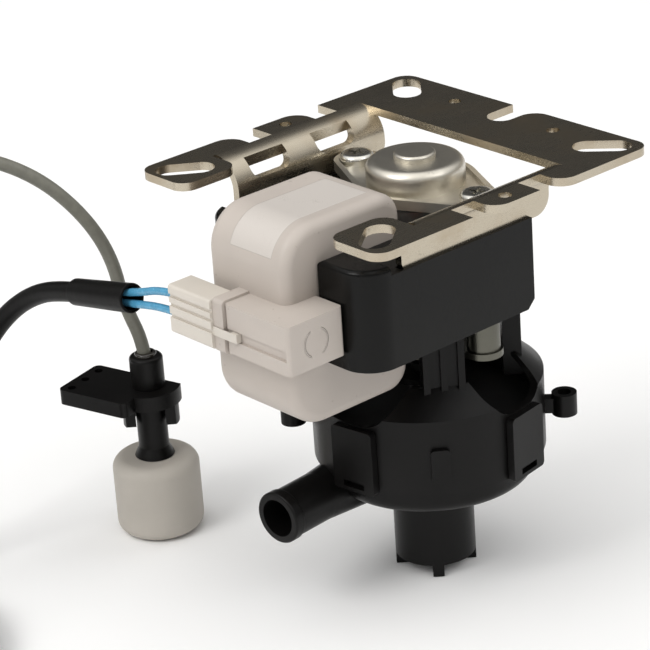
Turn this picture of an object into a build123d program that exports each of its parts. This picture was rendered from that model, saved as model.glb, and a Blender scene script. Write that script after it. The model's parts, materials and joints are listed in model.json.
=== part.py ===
from build123d import *
from math import atan2, cos, degrees, pi, radians, sin, tan
import os

# Condensate pump: a shaded-pole motor hung from a steel bracket drives a small
# centrifugal pump below it, and a float switch on its own cable starts it.
# Frame, mm: the origin is on the rotor axis in the bracket's top face, +Z is up,
# the coil lies towards -X and the bracket's back rail towards +X.

# ---------------------------------------------------------------- driving sizes
# Steel mounting bracket
sheet_t = 2.0
rail_outer_y = 41.4            # half width over the side rails
rail_front_x = -50.0           # free ends of the side rails
rail_back_x = 36.4             # outer edge of the back rail
back_rail_w = 22.2             # width of the back rail
tab_w = 17.0                   # length of each end tab along X
tab_inner_y = 24.6             # inner edge of an end tab
rail_flat_w = 7.0              # flat width of a side rail, outside the bend
bend_r = 5.6                   # inside bend radius of the flanges
flange_front_x = -32.0
flange_back_x = 15.0
flange_drop = 13.0             # how far a flange reaches down
flange_corner_r = 4.5
bracket_corner_r = 4.0
slot_w = 7.0
slot_l = 14.0
slot_front_x = -42.5
slot_back_x = 28.8
slot_y = 33.0
notch_w = 7.0
notch_depth = 11.0
notch_lead_r = 4.5
notch_x = (-18.0, 3.1)         # notches along each side rail
window_x = (-21.0, -0.2)       # windows across each bend
window_w = 12.0
window_drop = 6.0              # how far a window reaches down the flange
window_corner_r = 2.6
pilot_hole_d = 3.2
pilot_edge = 7.0               # back rail's edge to its pilot holes
pilot_y = 16.6
side_pilot_x = -7.5
side_pilot_edge = 4.1          # side rail's edge to its pilot hole

# Stator stack, shading rings and coil
stack_top = -13.7
stack_h = 19.5
limb_w = 12.6                  # width of each C-frame limb
limb_inset = 11.8              # cover's front to the limbs' rounded free ends
limb_end_r = 6.4
pole_x0 = -14.6                # inner face of the yoke round the rotor
pole_end_x = 16.0
pole_chamfer = 5.0
bar_inset = 9.9                # cover's front to the core bar through the coil
bar_w = 17.0
seam_pitch = 3.9               # between the seams of the riveted packs
seam_w = 0.12
seam_depth = 0.15
rotor_d = 24.0
air_gap = 0.35
pole_notch_r = 0.9
shading_t = 1.6
shading_y = 11.0
shading_reach = 4.6            # yoke face to the ring's far leg
coil_yoke_gap = 2.6            # cover's back to the yoke
coil_l = 36.2
coil_half_w = 13.4
coil_top = -1.5
coil_h = 49.2
coil_wall = 1.6
coil_corner_r = 10.0
coil_inner_corner_r = 6.0
coil_edge_r = 2.6
bobbin_t = 1.2
winding_gap = 2.0              # cover's wall to the winding
bar_gap = 0.05                 # cover to the steel it closes on

# Socket on the coil, its plug and contacts
socket_proud = 7.6             # socket's face to the cover's front
socket_l = 16.4                # along X
socket_y0 = -22.4
socket_w = 21.6                # along Y
socket_top = -18.7
socket_h = 11.9
socket_corner_r = 1.0
socket_wall = 1.1
groove_depth = 0.7             # groove along the socket's front
groove_w = 2.6
collar_l = 3.5                 # collar round the mouth, along Y
collar_proud = 0.6
collar_w = 11.0                # along X
plug_gap = 0.15
plug_proud = 1.4               # plug's face to the socket's face
plug_w = 7.6                   # along X
plug_h = 12.0
plug_tail_y = 17.5             # wire end of the plug
plug_in_y = -10.4              # nose end of the plug
plug_corner_r = 0.8
nose_inset = 1.2
rib_w = 0.9                    # ridges along the plug's outer face
rib_depth = 0.5
latch_y0 = -5.5                # hooked end of the latch arm
latch_y1 = 3.5
latch_w = 2.2
wire_inset = 4.1               # plug's face to its wires
contact_l = 21.0

# Black sleeves over the limbs
sleeve_wall = 1.0
cap_l = 5.4                    # limbs' free ends to where the caps begin
sleeve_back_x = 8.2
sleeve_top_wall = 1.5
sleeve_chamfer = 2.2
cap_proud = (2.6, 1.0)         # front and rear cap beyond the limbs' free ends
cap_top = -10.2
cap_corner_r = (7.8, 10.0)
cap_rim_r = 1.2
leg_hole_r = 4.1

# Rotor, shaft and bearing brackets
shaft_d = 4.0
shaft_top = -4.0
shaft_bottom = -82.0
bearing_od = 9.0
bearing_h = 5.0
bearing_clearance = 0.03
dome_r = 11.8
dome_top = -1.9
dome_edge_r = 2.2
dome_boss_r = 5.0
dome_boss_h = 1.6
dome_plate_top = -8.0
dome_foot_r = 14.6
dome_rim_h = 0.9               # raised rim of the plate
dome_rim_w = 1.3
plate_t = 1.6
screw_y = 20.5
screw_d = 4.0
screw_head_d = 8.2
screw_head_h = 2.6
screw_head_r = 1.2
screw_slot_l = 4.2
screw_slot_w = 0.9
screw_depth = 8.5              # below the stack
ear_r = 5.6
lower_plate_z = -44.9          # top of the lower bracket's plate
lower_plate_r = 8.5
lower_ear_r = 4.6
lower_cup_wall = 1.8
post_d = 8.0
felt_w = 2.0
felt_h = 1.2
retainer_t = 0.6
washer_t = 0.8
washer_r = 3.6
cage_bar_count = 16
cage_bar_d = 1.8
cage_bar_inset = 1.6           # rotor's surface to the bar circle
end_ring_h = 2.4
end_ring_w = 3.9

# Pump housing
pump_turn = -45.0              # degrees, the line through the two housing ears
pillar_angles = (-122.0, -40.0, 40.0, 122.0)
pillar_r = 20.2                # middle of a pillar
pillar_t = 3.6                 # radial thickness
pillar_w = 10.0
pillar_rib_w = 1.6
pillar_rib_proud = 0.9
pillar_rib_pitch = 4.2
shoulder_top = -51.6           # top of the conical shoulder
shoulder_r = 22.1
rim_top = -57.5
split_z = -74.5                # joint between upper housing and volute
rim_r = 28.4
housing_wall = 2.0
deck_z = -66.5                 # floor between motor side and impeller
shaft_hole_r = 3.2
window_sill = -60.0            # bottom edge of the windows in the shoulder
side_window_w = 19.0
coil_window_w = 26.0
window_sill_r = 6.0
ear_pitch = 66.2
ear_boss_d = 6.2
ear_hole_d = 3.4
ear_top = -64.1
ear_h = 5.6
ear_web_t = 3.0
clip_start = -81.0             # degrees, first of the snap clips
clip_count = 4
clip_w = 12.0
clip_proud = 1.5
clip_top = -60.6
clip_drop = 2.6                # below the joint
clip_slot_w = 6.0
lug_angle = -128.0
lug_w = 4.6
lug_top = -64.5
lug_bottom = -73.0
lug_proud = 1.1
flange_h = 2.0                 # volute's rim below the joint
drum_r = 25.7
volute_bottom = -83.4
drum_edge_r = 3.0
skirt_r = 10.0
skirt_wall = 2.1
skirt_bottom = -105.6
skirt_root_r = 1.4
feet_bottom = -108.65
foot_w = 2.8
foot_t = 3.4
foot_turn = -40.0
foot_count = 4
outlet_od = 12.3
outlet_bore = 9.4
outlet_z = -82.0
outlet_offset = 10.2           # tube axis to rotor axis
outlet_turn = 5.0              # degrees from -X towards -Y
outlet_reach = 44.0
outlet_lip = 0.35
outlet_lip_l = 3.0
fairing_reach = 27.0           # where the drum's side runs into the outlet
seal_section = 1.6
seal_inset = 1.5

# Impeller and slinger
impeller_r = 17.5
impeller_top = -70.4
impeller_h = 10.8
blade_count = 6
blade_t = 1.5
blade_tip_chamfer = 3.2
shroud_r = 11.0
shroud_t = 1.2
hub_r = 4.6
slinger_r = 8.5
slinger_z = -56.0
slinger_t = 1.6

# Float switch, stands apart on its own cable
float_x = -34.7
float_y = 66.4
stem_d = 8.6
stem_low_d = 7.8
stem_top = -60.4
stem_rim_r = 1.0
flare_d = 10.2
flare_h = 2.6
float_bracket_top = -68.8
float_bracket_t = 4.0
float_bracket_turn = 15.0      # degrees about the stem
float_bracket_back = 19.6
float_bracket_left = 12.4
float_bracket_right = 4.2
float_bracket_ring_r = 8.2
float_bracket_corner_r = 1.6
float_bracket_hole_d = 2.2
float_bracket_hole_pitch = 5.6
float_bracket_hole_x = -10.0
float_bracket_hole_edge = 2.8
lug_drop = 6.0
lug_outer_r = 7.2
float_r = 11.15
float_h = 20.4
float_edge_r = 3.0
float_travel = 7.0
float_clearance = 0.3
stop_gap = 0.2
counterbore_r = 7.0
float_clip_r = 5.6
float_clip_t = 1.0
float_clip_groove = 0.7
magnet_r = 6.6
magnet_h = 4.5
magnet_cover = 4.0             # float's top to the magnet
reed_bore_d = 4.4
reed_d = 2.4
reed_l = 14.0
reed_lead_r = 0.3
potting_depth = 11.0
cable_grip = 5.5               # length of cable held in the potting

# Cords
float_cable_d = 3.4
wire_d = 1.9
lead_d = 5.0
lead_sleeve_d = 6.6
float_ring_d = 34.0            # coil diameter at the middle of its turns
lead_ring_d = 50.0
ring_across = 2                # turns side by side in each coil
ring_layers = 2
wire_spread = 1.25             # lead's axis to each wire, inside the sleeve

# ---------------------------------------------------------------- derived sizes
stack_bottom = stack_top - stack_h
stack_mid = stack_top - stack_h / 2
sleeve_top = stack_top + sleeve_top_wall
sleeve_bottom = stack_bottom - sleeve_top_wall
flat_y = rail_outer_y - rail_flat_w
flange_out_y = flat_y - bend_r
flange_in_y = flange_out_y - sheet_t
limb_out_y = flange_in_y - bar_gap
limb_in_y = limb_out_y - limb_w
sleeve_y = flange_out_y + sleeve_wall
coil_x1 = pole_x0 - coil_yoke_gap
coil_x0 = coil_x1 - coil_l
bar_x0 = coil_x0 + bar_inset
limb_x0 = coil_x0 + limb_inset
sleeve_front_x = limb_x0 + cap_l
cap_x0 = [limb_x0 - proud for proud in cap_proud]
coil_inner_half = coil_half_w - coil_wall
socket_x0 = coil_x0 - socket_proud
socket_x1 = socket_x0 + socket_l
collar_x1 = socket_x0 + collar_w
plug_x0 = socket_x0 - plug_proud
wire_x = plug_x0 + wire_inset
socket_y1 = socket_y0 + socket_w
socket_bottom = socket_top - socket_h
mouth_y = socket_y1 + collar_l
nose_x0 = socket_x0 + socket_wall + plug_gap
plug_mid_z = socket_top - socket_h / 2 + 0.1
plug_bottom, plug_top = plug_mid_z - plug_h / 2, plug_mid_z + plug_h / 2
wire_z = (plug_mid_z + 1.9, plug_mid_z - 2.9)
plate_bottom = dome_plate_top - plate_t
upper_bearing_z = dome_top - plate_t - bearing_h / 2
lower_bearing_z = lower_plate_z - plate_t - bearing_h / 2 + 1.0
bar_ring_r = rotor_d / 2 - cage_bar_inset
seal_r = rim_r - seal_inset
floor_z = feet_bottom
float_top = floor_z + float_h
flare_bottom = float_top + stop_gap
stem_bottom = floor_z + 1.2
float_clip_top = stem_bottom + 0.8 + float_clip_t
float_ceiling = float_clip_top + float_travel + stop_gap
magnet_top = float_top - magnet_cover
float_cable_z = floor_z + float_cable_d / 2
lead_z = floor_z + lead_d / 2


# ---------------------------------------------------------------- helpers
def box(x0, x1, y0, y1, z0, z1):
    """An upright block between two corners."""
    return Pos((x0 + x1) / 2, (y0 + y1) / 2, (z0 + z1) / 2) * Box(abs(x1 - x0), abs(y1 - y0), abs(z1 - z0))


def rod(r, z0, z1, x=0.0, y=0.0):
    """An upright cylinder between two heights."""
    return Pos(x, y, (z0 + z1) / 2) * Cylinder(r, abs(z1 - z0))


def rod_y(r, y0, y1, x, z):
    """A cylinder along Y."""
    return Pos(x, (y0 + y1) / 2, z) * Rot(90, 0, 0) * Cylinder(r, abs(y1 - y0))


def tube(r_out, r_in, z0, z1, x=0.0, y=0.0):
    return rod(r_out, z0, z1, x, y) - rod(r_in, z0 - 1, z1 + 1, x, y)


def slab(sketch, z0, z1):
    """A flat outline drawn on z = 0, made solid between two heights."""
    return Pos(0, 0, min(z0, z1)) * extrude(sketch, amount=abs(z1 - z0))


def turned(points):
    """A solid of revolution about Z from (radius, z) points."""
    outline = make_face(Polyline(*[(r, 0, z) for r, z in points], close=True))
    return revolve(outline, Axis.Z)


def around(shape, angles):
    return [Rot(0, 0, angle) * shape for angle in angles]


def mirrored(shape):
    """The same shape on the other side of the XZ plane."""
    return mirror(shape, about=Plane.XZ)


def edges_at(shape, axis, low, high):
    """Edges along one axis whose middles lie inside a box."""
    picked = []
    for edge in shape.edges().filter_by(axis):
        mid = edge.center()
        if all(a <= v <= b for a, v, b in zip(low, (mid.X, mid.Y, mid.Z), high)):
            picked.append(edge)
    return picked


def top_rims(shape):
    return shape.edges().group_by(Axis.Z)[-1]


def polar(r, angle):
    return r * cos(radians(angle)), r * sin(radians(angle))


os.makedirs("parts", exist_ok=True)
saved = []


def save(name, shape):
    """Write one node, a single solid or a group of separate solids."""
    solids = list(shape) if isinstance(shape, (list, tuple)) else [shape]
    parts = [solid for item in solids for solid in item.solids()]
    body = parts[0] if len(parts) == 1 else Compound(children=parts)
    body.label = name
    export_step(body, f"parts/{name}.step")
    saved.append(name)
    print(f"{name}: {len(parts)} solid(s)")


# ---------------------------------------------------------------- mounting bracket
def notch(x, side):
    """A round-bottomed notch in from a side rail's outer edge, one lip eased."""
    bottom = rail_outer_y - notch_depth
    cut = Pos(x, bottom + notch_w / 2) * Circle(notch_w / 2)
    cut += Pos(x, bottom + notch_w / 2 + notch_depth) * Rectangle(notch_w, 2 * notch_depth)
    lip_x = x - side * notch_w / 2
    ease = Pos(lip_x - side * notch_lead_r / 2, rail_outer_y - notch_lead_r / 2)
    ease *= Rectangle(notch_lead_r, notch_lead_r)
    ease -= Pos(lip_x - side * notch_lead_r, rail_outer_y - notch_lead_r) * Circle(notch_lead_r)
    return cut + ease


def bracket_blank():
    """The flat outline: back rail, two side rails and their end tabs."""
    rail_mid_x = (rail_front_x + rail_back_x) / 2
    rail_w = rail_outer_y - flat_y
    blank = Pos(rail_back_x - back_rail_w / 2, 0) * Rectangle(back_rail_w, 2 * rail_outer_y)
    for side in (1, -1):
        blank += Pos(rail_mid_x, side * (flat_y + rail_w / 2)) * Rectangle(rail_back_x - rail_front_x, rail_w)
        tab_mid_y = side * (tab_inner_y + rail_outer_y) / 2
        blank += Pos(rail_front_x + tab_w / 2, tab_mid_y) * Rectangle(tab_w, rail_outer_y - tab_inner_y)
    return blank


def flange(x0, x1):
    """One +Y flange: a quarter bend and the drop below it."""
    bend_out_r = bend_r + sheet_t
    length = x1 - x0
    middle = Pos((x0 + x1) / 2, flat_y, -bend_out_r) * Rot(0, 90, 0)
    ring = middle * Cylinder(bend_out_r, length) - middle * Cylinder(bend_r, length + 2)
    bend = ring & box(x0, x1, flange_in_y - 1, flat_y, -bend_out_r, 1)
    drop = box(x0, x1, flange_in_y, flange_out_y, -flange_drop, -bend_out_r)
    drop = fillet(edges_at(drop, Axis.Y, (x1 - 1, -99, -99), (x1 + 1, 99, 1 - flange_drop)), flange_corner_r)
    drop = fillet(edges_at(drop, Axis.Y, (x0 - 1, -99, -99), (x0 + 1, 99, 1 - flange_drop)), flange_corner_r / 2)
    return bend + drop


def make_bracket():
    blank = bracket_blank()
    outer = [v for v in blank.vertices() if abs(v.X - rail_back_x) < 0.1 or abs(v.X - rail_front_x) < 0.1]
    blank = fillet(outer, bracket_corner_r)
    tab_back = rail_front_x + tab_w
    inner = [v for v in blank.vertices() if abs(v.X - tab_back) < 0.1 and abs(abs(v.Y) - tab_inner_y) < 0.1]
    blank = fillet(inner, bracket_corner_r)
    for side in (1, -1):
        for x in (slot_front_x, slot_back_x):
            toward = degrees(atan2(side * slot_y, x))
            blank -= Pos(x, side * slot_y) * Rot(0, 0, toward) * SlotOverall(slot_l, slot_w)
        for x in notch_x:
            cut = notch(x, side)
            blank -= cut if side > 0 else mirror(cut, about=Plane.XZ)
        blank -= Pos(rail_back_x - pilot_edge, side * pilot_y) * Circle(pilot_hole_d / 2)
        blank -= Pos(side_pilot_x, side * (rail_outer_y - side_pilot_edge)) * Circle(pilot_hole_d / 2)
    blank -= Rot(0, 0, -90) * Pos(0, rail_back_x - rail_outer_y) * notch(0, -1)
    plate = slab(blank, -sheet_t, 0)
    for side in (1, -1):
        wing = flange(flange_front_x, flange_back_x)
        for x in window_x:
            opening = box(x - window_w / 2, x + window_w / 2, flange_in_y - 2, flange_out_y + 1.5, -window_drop, 2)
            low_edges = edges_at(opening, Axis.Y, (-99, -99, -99), (99, 99, 1 - window_drop))
            wing -= fillet(low_edges, window_corner_r)
        plate += wing if side > 0 else mirrored(wing)
    return plate


# ---------------------------------------------------------------- stator and coil
def stack_outline():
    """The C-frame's outline: two limbs, a pole end and the rotor bore."""
    outline = Pos((limb_x0 + pole_end_x) / 2, 0) * Rectangle(pole_end_x - limb_x0, 2 * limb_out_y)
    outline = chamfer([v for v in outline.vertices() if v.X > 0], pole_chamfer)
    outline = fillet([v for v in outline.vertices() if v.X < limb_x0 + 1], limb_end_r)
    outline -= Pos((limb_x0 - 5 + pole_x0) / 2, 0) * Rectangle(pole_x0 - limb_x0 + 5, 2 * limb_in_y)
    outline -= Circle(rotor_d / 2 + air_gap)
    for side in (1, -1):
        outline -= Pos(0, side * screw_y) * Circle(screw_d / 2 + bar_gap)
        outline -= Pos(pole_x0 + shading_reach, side * shading_y) * Rectangle(shading_t, shading_t)
        outline -= Pos(rotor_d / 6, side * (rotor_d / 2 + air_gap)) * Circle(pole_notch_r)
    return outline


def make_stator():
    stack = slab(stack_outline(), stack_bottom, stack_top)
    for k in range(1, int(stack_h / seam_pitch)):
        z = stack_top - k * seam_pitch
        stack -= box(pole_end_x - seam_depth, pole_end_x + 1, -limb_out_y, limb_out_y,
                     z - seam_w / 2, z + seam_w / 2)
    return stack


def make_core_bar():
    return box(bar_x0, bar_x0 + bar_w, -limb_in_y, limb_in_y, stack_bottom, stack_top)


def make_shading_rings():
    """Two closed copper loops, one round each pole tip."""
    leg_x = pole_x0 + shading_reach - shading_t / 2
    rings = []
    for side in (1, -1):
        y0, y1 = side * shading_y - shading_t / 2, side * shading_y + shading_t / 2
        loop = box(pole_x0 - shading_t, leg_x + shading_t, y0, y1, stack_bottom - shading_t, stack_top + shading_t)
        rings.append(loop - box(pole_x0, leg_x, y0 - 1, y1 + 1, stack_bottom, stack_top))
    return rings


def coil_outline(inset=0.0):
    """The cover's rounded outline in XZ, inset all round."""
    face = Rectangle(coil_l - 2 * inset, coil_h - 2 * inset)
    face = fillet([v for v in face.vertices() if v.X < 0], max(coil_corner_r - inset, 1.0))
    inner = [v for v in face.vertices() if v.X > coil_l / 2 - inset - 0.01]
    face = fillet(inner, max(coil_inner_corner_r - inset, 1.0))
    middle = (coil_x0 + coil_l / 2, 0, coil_top - coil_h / 2)
    return Plane(origin=middle, x_dir=(1, 0, 0), z_dir=(0, -1, 0)) * face


def coil_block(inset, half_w):
    return extrude(coil_outline(inset), amount=half_w, both=True)


def make_coil_cover():
    """Moulded cover round the coil, with the two-pole socket on its side."""
    cover = coil_block(0.0, coil_half_w)
    rims = [e for e in cover.edges() if abs(abs(e.center().Y) - coil_half_w) < 0.01]
    cover = fillet(rims, coil_edge_r)
    socket = box(socket_x0, socket_x1, socket_y0, socket_y1, socket_bottom, socket_top)
    socket = fillet(socket.edges().filter_by(Axis.Z), socket_corner_r)
    socket -= box(socket_x0 - 1, socket_x0 + groove_depth, socket_y0 + 1.0, socket_y1 + 1,
                  stack_mid - 3.8, stack_mid - 3.8 + groove_w)
    collar = box(socket_x0 - collar_proud, collar_x1, socket_y1, mouth_y,
                 socket_bottom - collar_proud, socket_top + collar_proud)
    cover += socket + fillet(collar.edges().filter_by(Axis.Y), socket_corner_r)
    cover -= coil_block(coil_wall, coil_inner_half)
    cover -= box(bar_x0 - bar_gap, bar_x0 + bar_w + bar_gap, -limb_in_y, limb_in_y,
                 stack_bottom - bar_gap, stack_top + bar_gap)
    cover -= box(nose_x0 - plug_gap, nose_x0 + plug_w - nose_inset + plug_gap, plug_in_y - plug_gap, mouth_y + 1,
                 plug_bottom + nose_inset - plug_gap, plug_top - nose_inset + plug_gap)
    for side in (1, -1):
        cover -= box(limb_x0 - 1, coil_x1 + 1, side * limb_in_y, side * (limb_out_y + 2), stack_bottom, stack_top)
    return cover


def make_bobbin():
    """Spool round the core bar: a square tube with a flange at each end."""
    spool = box(bar_x0 - bobbin_t, bar_x0 + bar_w + bobbin_t, -coil_inner_half, coil_inner_half,
                stack_bottom - bobbin_t, stack_top + bobbin_t)
    ends = coil_block(coil_wall + bar_gap, coil_inner_half) - coil_block(coil_wall, coil_inner_half - bobbin_t)
    return spool + ends - box(bar_x0, bar_x0 + bar_w, -coil_half_w, coil_half_w, stack_bottom, stack_top)


def make_winding():
    winding = coil_block(coil_wall + winding_gap, coil_inner_half - bobbin_t)
    return winding - box(bar_x0 - bobbin_t, bar_x0 + bar_w + bobbin_t, -coil_half_w, coil_half_w,
                         stack_bottom - bobbin_t, stack_top + bobbin_t)


def make_plug():
    """Two-pole plug: a ribbed body, its nose in the socket and a latch arm."""
    body = box(plug_x0, plug_x0 + plug_w, mouth_y, plug_tail_y, plug_bottom, plug_top)
    body = fillet(body.edges().filter_by(Axis.Y), plug_corner_r)
    for z in (plug_mid_z + 3.4, plug_mid_z + 1.2, plug_mid_z - 1.6):
        body -= box(plug_x0 - 1, plug_x0 + rib_depth, mouth_y - 1, plug_tail_y + 1, z - rib_w / 2, z + rib_w / 2)
    nose = box(nose_x0, nose_x0 + plug_w - nose_inset, plug_in_y, mouth_y,
               plug_bottom + nose_inset, plug_top - nose_inset)
    arm_z0, arm_z1 = stack_mid - 3.6, stack_mid - 3.6 + latch_w
    arm = box(plug_x0 + rib_depth, socket_x0 - collar_proud - plug_gap, latch_y0, latch_y1, arm_z0, arm_z1)
    hook = box(plug_x0 + rib_depth, socket_x0 + groove_depth - 0.1, latch_y0, latch_y0 + latch_w, arm_z0, arm_z1)
    plug = body + nose + arm + hook
    for z in wire_z:
        plug -= rod_y(wire_d / 2, plug_in_y - 1, plug_tail_y + 1, wire_x, z)
    return plug


def make_contacts():
    """Two crimped sockets that hold the wires inside the plug."""
    return [rod_y(wire_d / 2, plug_in_y + 0.5, plug_in_y + 0.5 + contact_l, wire_x, z) for z in wire_z]


# ---------------------------------------------------------------- sleeves over the limbs
def make_sleeve(end_x, corner_r):
    """Black sleeve over the -Y limb: a channel, its pocket for the flange and an end cap."""
    shell = box(sleeve_front_x, sleeve_back_x, -sleeve_y, -limb_in_y, sleeve_bottom, sleeve_top)
    back_edge = edges_at(shell, Axis.Y, (sleeve_back_x - 1, -99, -99), (99, 99, sleeve_bottom + 1))
    shell = chamfer(back_edge, sleeve_chamfer)
    cap = box(end_x, 0, -sleeve_y, -limb_in_y - bar_gap, sleeve_bottom, cap_top)
    cap = fillet(edges_at(cap, Axis.Z, (end_x - 1, -sleeve_y - 1, -99), (end_x + 1, 1 - sleeve_y, 0)), corner_r)
    sleeve = shell + (fillet(top_rims(cap), cap_rim_r) - box(sleeve_front_x, 1, -99, 0, -99, 0))
    sleeve -= slab(stack_outline(), stack_bottom, stack_top)
    sleeve -= box(limb_x0 + 1, sleeve_back_x + 1, -limb_in_y - 1, -limb_in_y + 1, stack_bottom, stack_top)
    sleeve -= box(flange_front_x - 0.3, flange_back_x + 1, -flange_out_y, -flange_in_y,
                  -flange_drop - 0.2, cap_top + 1)
    return sleeve - rod(leg_hole_r, sleeve_bottom - 1, cap_top + 1, 0, -screw_y)


# ---------------------------------------------------------------- bearing brackets and rotor
def bracket_plate(centre_r, end_r, z0, z1):
    rim = [Circle(centre_r).edge()]
    rim += [(Pos(0, side * screw_y) * Circle(end_r)).edge() for side in (1, -1)]
    return slab(make_hull(rim), z0, z1)


def make_upper_bracket():
    """Drawn dome over the upper bearing, with a raised rim and two legs on the stack."""
    part = bracket_plate(dome_foot_r, ear_r, plate_bottom, dome_plate_top + dome_rim_h)
    part -= bracket_plate(dome_foot_r - dome_rim_w, ear_r - dome_rim_w, dome_plate_top, dome_plate_top + 2)
    dome = rod(dome_r, dome_plate_top - 0.1, dome_top)
    boss = rod(dome_boss_r, dome_top - 0.1, dome_top + dome_boss_h)
    part += fillet(top_rims(dome), dome_edge_r) + fillet(top_rims(boss), dome_boss_h / 2)
    for side in (1, -1):
        part += rod(screw_head_d / 2, plate_bottom, dome_plate_top, 0, side * screw_y)
        part += rod(post_d / 2, stack_top, plate_bottom, 0, side * screw_y)
    pocket_top = dome_top - plate_t
    part -= rod(bearing_od / 2, pocket_top - bearing_h, pocket_top)
    part -= tube(dome_r - plate_t, bearing_od / 2 + plate_t, plate_bottom - 1, pocket_top - plate_t)
    part -= rod(dome_r - plate_t, plate_bottom - 1, pocket_top - bearing_h + 0.6)
    for side in (1, -1):
        part -= rod(screw_d / 2 + bar_gap, stack_top - 1, 0, 0, side * screw_y)
    return part


def make_lower_bracket():
    """Cast bridge under the stack: two posts, a plate and a cup for the lower bearing."""
    bottom = lower_plate_z - plate_t
    part = bracket_plate(lower_plate_r, lower_ear_r, bottom, lower_plate_z)
    part += rod(bearing_od / 2 + lower_cup_wall, lower_bearing_z - bearing_h / 2 - 1.0, lower_plate_z)
    for side in (1, -1):
        part += rod(post_d / 2, bottom, stack_bottom, 0, side * screw_y)
        part -= rod(screw_d / 2, stack_bottom - screw_depth, stack_bottom + 1, 0, side * screw_y)
    part -= rod(bearing_od / 2, lower_bearing_z - bearing_h / 2, lower_plate_z + 1)
    return part - rod(shaft_d / 2 + 0.6, -99, 0)


def make_screws():
    screws = []
    top = dome_plate_top + screw_head_h
    for side in (1, -1):
        y = side * screw_y
        head = rod(screw_head_d / 2, dome_plate_top, top, 0, y)
        head = fillet(top_rims(head), screw_head_r)
        for angle in (20, 110):
            head -= Pos(0, y, top) * Rot(0, 0, angle) * Box(screw_slot_l, screw_slot_w, screw_head_h)
        screws.append(head + rod(screw_d / 2, stack_bottom - screw_depth, dome_plate_top, 0, y))
    return screws


def make_bearing(middle):
    return tube(bearing_od / 2, shaft_d / 2 + bearing_clearance, middle - bearing_h / 2, middle + bearing_h / 2)


def make_felts():
    """Oil-soaked rings: one round the upper bearing, one on top of the lower one."""
    top = upper_bearing_z - bearing_h / 2 + felt_h
    low = lower_bearing_z + bearing_h / 2
    return [tube(bearing_od / 2 + plate_t + felt_w, bearing_od / 2 + plate_t, top - felt_h, top),
            tube(bearing_od / 2, shaft_d / 2 + 0.6, low, low + felt_h / 2)]


def make_retainer():
    """Spring plate that holds the upper bearing and its felt in the dome."""
    top = upper_bearing_z - bearing_h / 2
    return tube(dome_r - plate_t, washer_r + 0.4, top - retainer_t, top)


def make_rotor_core():
    core = tube(rotor_d / 2, shaft_d / 2, stack_bottom, stack_top)
    for k in range(cage_bar_count):
        core -= rod(cage_bar_d / 2, stack_bottom - 1, stack_top + 1, *polar(bar_ring_r, 360 / cage_bar_count * k))
    return core


def make_rotor_cage():
    """Cast cage: round bars between two end rings."""
    r = rotor_d / 2 - 0.3
    cage = tube(r, r - end_ring_w, stack_top, stack_top + end_ring_h)
    cage += tube(r, r - end_ring_w, stack_bottom - end_ring_h, stack_bottom)
    for k in range(cage_bar_count):
        cage += rod(cage_bar_d / 2, stack_bottom, stack_top, *polar(bar_ring_r, 360 / cage_bar_count * k))
    return cage


def make_shaft():
    shaft = rod(shaft_d / 2, shaft_bottom, shaft_top)
    return chamfer(shaft.edges().filter_by(GeomType.CIRCLE), 0.3)


def make_thrust_washers():
    top = upper_bearing_z - bearing_h / 2 - 0.15
    low = lower_bearing_z + bearing_h / 2 + felt_h
    return [tube(washer_r, shaft_d / 2, top - washer_t, top), tube(washer_r, shaft_d / 2, low, low + washer_t)]


# ---------------------------------------------------------------- pump
def pillar(top):
    """One leg of the cage, ribbed on its outer face."""
    r0, r1 = pillar_r - pillar_t / 2, pillar_r + pillar_t / 2
    leg = box(r0, r1, -pillar_w / 2, pillar_w / 2, rim_top, top)
    for k in (-1, 0, 1):
        y = k * pillar_rib_pitch
        leg += box(r1 - 0.1, r1 + pillar_rib_proud, y - pillar_rib_w / 2, y + pillar_rib_w / 2, rim_top, top - 0.6)
    return leg


def sill_cut(width):
    """A window with rounded lower corners, cut through the shoulder along +X."""
    cut = box(pillar_r - pillar_t, rim_r + 5, -width / 2, width / 2, window_sill, shoulder_top + 8)
    return fillet(edges_at(cut, Axis.X, (-99, -99, -99), (99, 99, window_sill + 1)), window_sill_r)


def clip():
    """A hooked tab that snaps over the volute's rim."""
    r0, r1 = rim_r - 0.4, rim_r + clip_proud
    tab = box(r0, r1, -clip_w / 2, clip_w / 2, split_z - clip_drop, clip_top)
    tab = fillet(tab.edges().filter_by(Axis.X), 1.0)
    tab -= rod(rim_r + 0.15, split_z - clip_drop - 1, split_z)
    return tab - box(r0 - 1, r1 + 1, -clip_slot_w / 2, clip_slot_w / 2, split_z - 1.6, split_z)


def ear():
    """A screw boss outside the rim and the web that carries it, on +X."""
    x = ear_pitch / 2
    boss = rod(ear_boss_d / 2, ear_top - ear_h, ear_top, x)
    boss += box(rim_r - 1, x, -ear_web_t / 2, ear_web_t / 2, ear_top - ear_h + 0.6, ear_top - 1.2)
    return boss - rod(ear_hole_d / 2, ear_top - ear_h - 1, ear_top + 1, x)


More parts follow.
